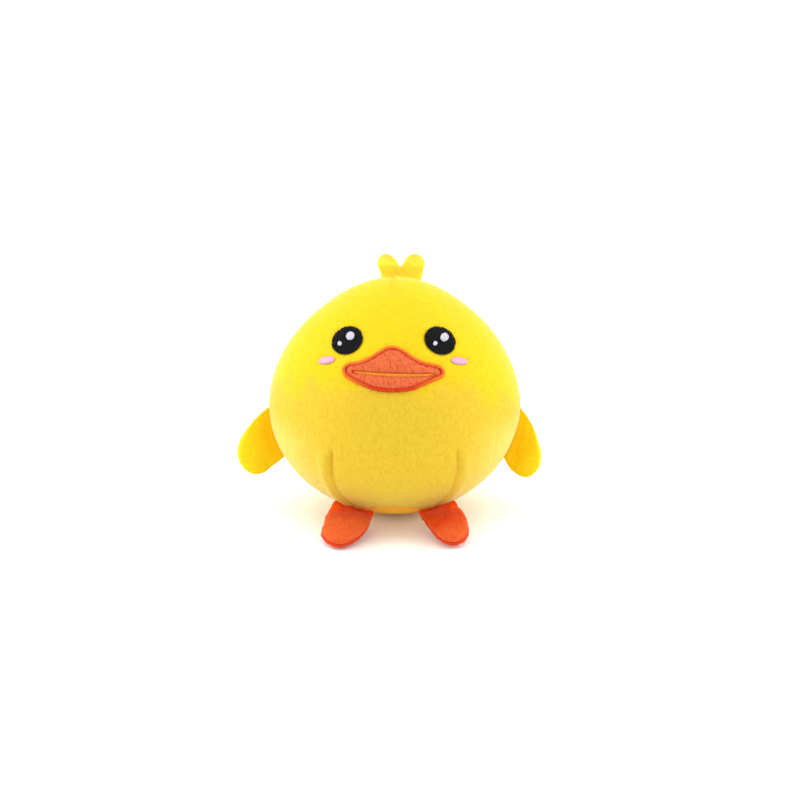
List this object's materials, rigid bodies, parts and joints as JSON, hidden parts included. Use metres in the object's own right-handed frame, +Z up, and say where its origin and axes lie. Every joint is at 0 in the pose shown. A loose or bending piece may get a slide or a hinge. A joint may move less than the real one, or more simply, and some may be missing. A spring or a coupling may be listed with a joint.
{
  "type": "plush duck",
  "caption": "Round plush duck that sits leaning back, with sewn-on wings, feet and a two-lobed tuft that fold about their root seams, and an appliqued beak.",
  "frame": {"origin": "middle of the flat under the body that the toy sits on", "axes": "+Z up, the duck faces -Y with its own left towards +X, stored sitting at rest and leaning back on its body and both soles"},
  "size_m": [0.2116, 0.1591, 0.173],
  "materials": {
    "yellow_plush": "matte",
    "base_plush": "matte",
    "wing_plush": "matte",
    "foot_plush": "matte",
    "sole_plush": "matte",
    "beak_plush": "matte",
    "border_thread": "satin",
    "mouth_thread": "satin",
    "eye_thread": "satin",
    "glint_thread": "satin",
    "cheek_thread": "satin",
    "fibre": "matte"
  },
  "bodies": {
    "body": {"body_stuffing": "fibre", "body_front_panel": "yellow_plush", "body_back_panel_left": "yellow_plush", "body_back_panel_right": "yellow_plush", "body_base_panel": "base_plush", "beak_patch": "beak_plush", "beak_border": "border_thread", "mouth_line": "mouth_thread", "eye_left": "eye_thread", "eye_left_glint_large": "glint_thread", "eye_left_glint_small": "glint_thread", "eye_right": "eye_thread", "eye_right_glint_large": "glint_thread", "eye_right_glint_small": "glint_thread", "cheek_left": "cheek_thread", "cheek_right": "cheek_thread"},
    "wing_left": {"wing_left_front_panel": "wing_plush", "wing_left_back_panel": "wing_plush", "wing_left_stuffing": "fibre"},
    "wing_right": {"wing_right_front_panel": "wing_plush", "wing_right_back_panel": "wing_plush", "wing_right_stuffing": "fibre"},
    "foot_left": {"foot_left_top_panel": "foot_plush", "foot_left_sole_panel": "sole_plush", "foot_left_stuffing": "fibre"},
    "foot_right": {"foot_right_top_panel": "foot_plush", "foot_right_sole_panel": "sole_plush", "foot_right_stuffing": "fibre"},
    "tuft": {"tuft_front_panel": "wing_plush", "tuft_back_panel": "wing_plush", "tuft_stuffing": "fibre"}
  },
  "joints": [
    {"name": "wing_left_swing", "type": "hinge", "parent": "body", "child": "wing_left", "pos_m": [0.08415, -0.00834, 0.05622], "axis": [-0.3033, -0.2853, -0.9092], "range_deg": [-55, 55], "stiffness_Nm_per_rad": 0.012},
    {"name": "wing_right_swing", "type": "hinge", "parent": "body", "child": "wing_right", "pos_m": [-0.08415, -0.00834, 0.05622], "axis": [-0.3033, 0.2853, 0.9092], "range_deg": [-55, 55], "stiffness_Nm_per_rad": 0.012},
    {"name": "foot_left_fold", "type": "hinge", "parent": "body", "child": "foot_left", "pos_m": [0.02766, -0.04206, 0.01341], "axis": [-0.9594, -0.151, -0.2382], "range_deg": [-28, 28], "stiffness_Nm_per_rad": 0.03},
    {"name": "foot_right_fold", "type": "hinge", "parent": "body", "child": "foot_right", "pos_m": [-0.02766, -0.04206, 0.01341], "axis": [-0.9594, 0.151, 0.2382], "range_deg": [-28, 28], "stiffness_Nm_per_rad": 0.03},
    {"name": "tuft_nod", "type": "hinge", "parent": "body", "child": "tuft", "pos_m": [0.0047, 0.0238, 0.15866], "axis": [1, 0, 0], "range_deg": [-50, 50], "stiffness_Nm_per_rad": 0.004}
  ]
}
